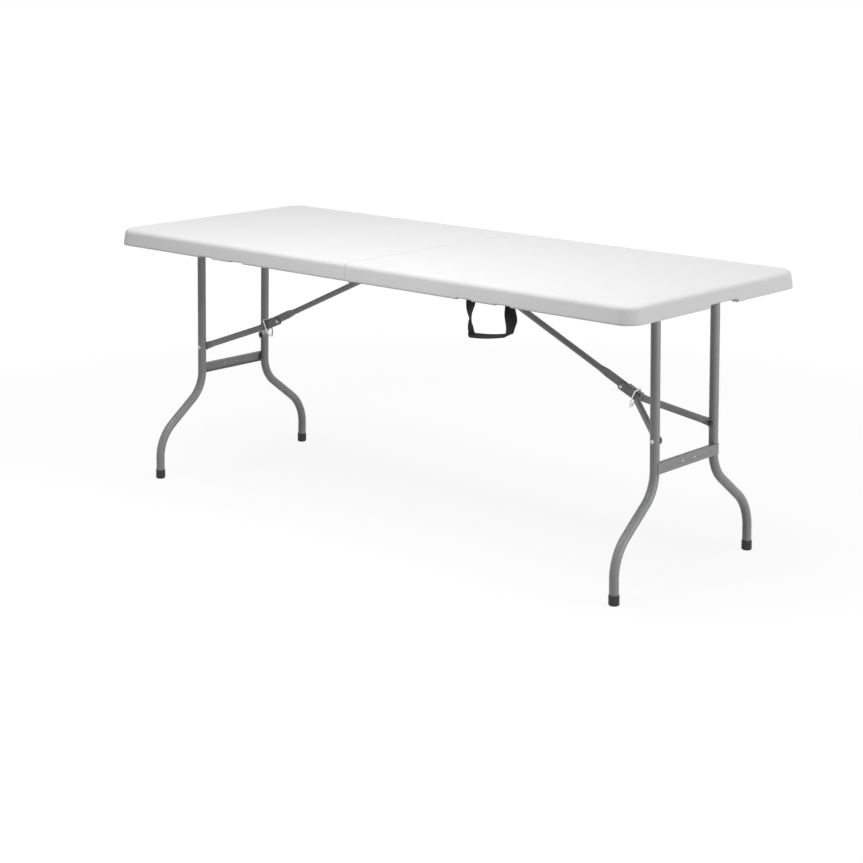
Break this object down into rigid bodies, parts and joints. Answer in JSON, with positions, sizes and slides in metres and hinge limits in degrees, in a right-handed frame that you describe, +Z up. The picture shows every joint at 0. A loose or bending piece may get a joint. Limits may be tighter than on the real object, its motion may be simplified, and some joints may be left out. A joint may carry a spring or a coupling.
{
  "type": "folding buffet table",
  "caption": "Fold-in-half rectangular table: moulded plastic top in hinged halves, bent tubular steel legs that fold under on jointed braces, and a carrying strap.",
  "frame": {"origin": "on the floor, under the middle of the table top", "axes": "+X along the length, -Y towards the long side with the carrying strap, +Z up"},
  "size_m": [1.8, 0.72, 0.738],
  "materials": {
    "moulded_top": "fine pebbled off-white moulded polyethylene",
    "grey_steel": "grey hammer-tone powder coat",
    "zinc": "bright zinc plate",
    "black_plastic": "black moulded plastic",
    "strap": "black woven webbing"
  },
  "bodies": {
    "left_top": {"left_top_half": "moulded_top", "left_front_rail": "grey_steel", "left_back_rail": "grey_steel", "left_rail_screws": "zinc", "left_strut_bracket": "grey_steel", "left_strut_pin": "zinc", "left_bracket_screws": "zinc", "left_front_hinge_leaf": "grey_steel", "left_back_hinge_leaf": "grey_steel", "left_hinge_rivets": "zinc", "front_hinge_pin": "zinc", "back_hinge_pin": "zinc"},
    "right_top": {"right_top_half": "moulded_top", "right_front_rail": "grey_steel", "right_back_rail": "grey_steel", "right_rail_screws": "zinc", "right_strut_bracket": "grey_steel", "right_strut_pin": "zinc", "right_bracket_screws": "zinc", "right_front_hinge_leaf": "grey_steel", "right_back_hinge_leaf": "grey_steel", "right_hinge_rivets": "zinc", "handle_ends": "strap", "handle_plates": "zinc", "handle_screws": "zinc"},
    "right_legs": {"right_leg_cross_tube": "grey_steel", "right_leg_pivot_pins": "zinc", "right_front_leg": "grey_steel", "right_back_leg": "grey_steel", "right_crossbar": "grey_steel", "right_crossbar_rivets": "zinc", "right_front_foot_cap": "black_plastic", "right_back_foot_cap": "black_plastic", "right_leg_rivets": "zinc"},
    "right_strut": {"right_strut": "grey_steel", "right_knee_rivet": "zinc"},
    "right_arms": {"right_front_arm": "grey_steel", "right_back_arm": "grey_steel", "right_arm_caps": "black_plastic"},
    "right_ring": {"right_lock_ring": "zinc"},
    "left_legs": {"left_leg_cross_tube": "grey_steel", "left_leg_pivot_pins": "zinc", "left_front_leg": "grey_steel", "left_back_leg": "grey_steel", "left_crossbar": "grey_steel", "left_crossbar_rivets": "zinc", "left_front_foot_cap": "black_plastic", "left_back_foot_cap": "black_plastic", "left_leg_rivets": "zinc"},
    "left_strut": {"left_strut": "grey_steel", "left_knee_rivet": "zinc"},
    "left_arms": {"left_front_arm": "grey_steel", "left_back_arm": "grey_steel", "left_arm_caps": "black_plastic"},
    "left_ring": {"left_lock_ring": "zinc"},
    "handle": {"handle_strap": "strap"}
  },
  "joints": [
    {"name": "top_fold", "type": "hinge", "parent": "left_top", "child": "right_top", "pos_m": [0, 0, 0.692], "axis": [0, 1, 0], "range_deg": [0, 90]},
    {"name": "right_legs_fold", "type": "hinge", "parent": "right_top", "child": "right_legs", "pos_m": [0.801, 0, 0.706], "axis": [0, 1, 0], "range_deg": [0, 91.81]},
    {"name": "right_strut_turn", "type": "hinge", "parent": "right_top", "child": "right_strut", "pos_m": [0.075, 0, 0.709], "axis": [0, 1, 0], "range_deg": [-25.42, 0]},
    {"name": "right_arms_turn", "type": "hinge", "parent": "right_strut", "child": "right_arms", "pos_m": [0.61843, 0, 0.45384], "axis": [0, 1, 0], "range_deg": [0, 180.38]},
    {"name": "right_ring_slide", "type": "slide", "parent": "right_strut", "child": "right_ring", "axis": [-0.9087, 0, 0.4175], "range_m": [0, 0.38156]},
    {"name": "left_legs_fold", "type": "hinge", "parent": "left_top", "child": "left_legs", "pos_m": [-0.801, 0, 0.706], "axis": [0, -1, 0], "range_deg": [0, 91.81]},
    {"name": "left_strut_turn", "type": "hinge", "parent": "left_top", "child": "left_strut", "pos_m": [-0.075, 0, 0.709], "axis": [0, -1, 0], "range_deg": [-25.42, 0]},
    {"name": "left_arms_turn", "type": "hinge", "parent": "left_strut", "child": "left_arms", "pos_m": [-0.61843, 0, 0.45384], "axis": [0, -1, 0], "range_deg": [0, 180.38]},
    {"name": "left_ring_slide", "type": "slide", "parent": "left_strut", "child": "left_ring", "axis": [0.9087, 0, 0.4175], "range_m": [0, 0.38156]},
    {"name": "handle_swing", "type": "hinge", "parent": "right_top", "child": "handle", "pos_m": [0.4625, -0.3295, 0.6922], "axis": [1, 0, 0], "range_deg": [-60, 60]}
  ],
  "couplings": [
    {"joint": "right_strut_turn", "follows": "right_legs_fold", "ratio": -0.27684},
    {"joint": "right_arms_turn", "follows": "right_legs_fold", "ratio": 1.9648},
    {"joint": "right_ring_slide", "follows": "right_legs_fold", "m_per_rad": 0.23811},
    {"joint": "left_strut_turn", "follows": "left_legs_fold", "ratio": -0.27684},
    {"joint": "left_arms_turn", "follows": "left_legs_fold", "ratio": 1.9648},
    {"joint": "left_ring_slide", "follows": "left_legs_fold", "m_per_rad": 0.23811}
  ]
}
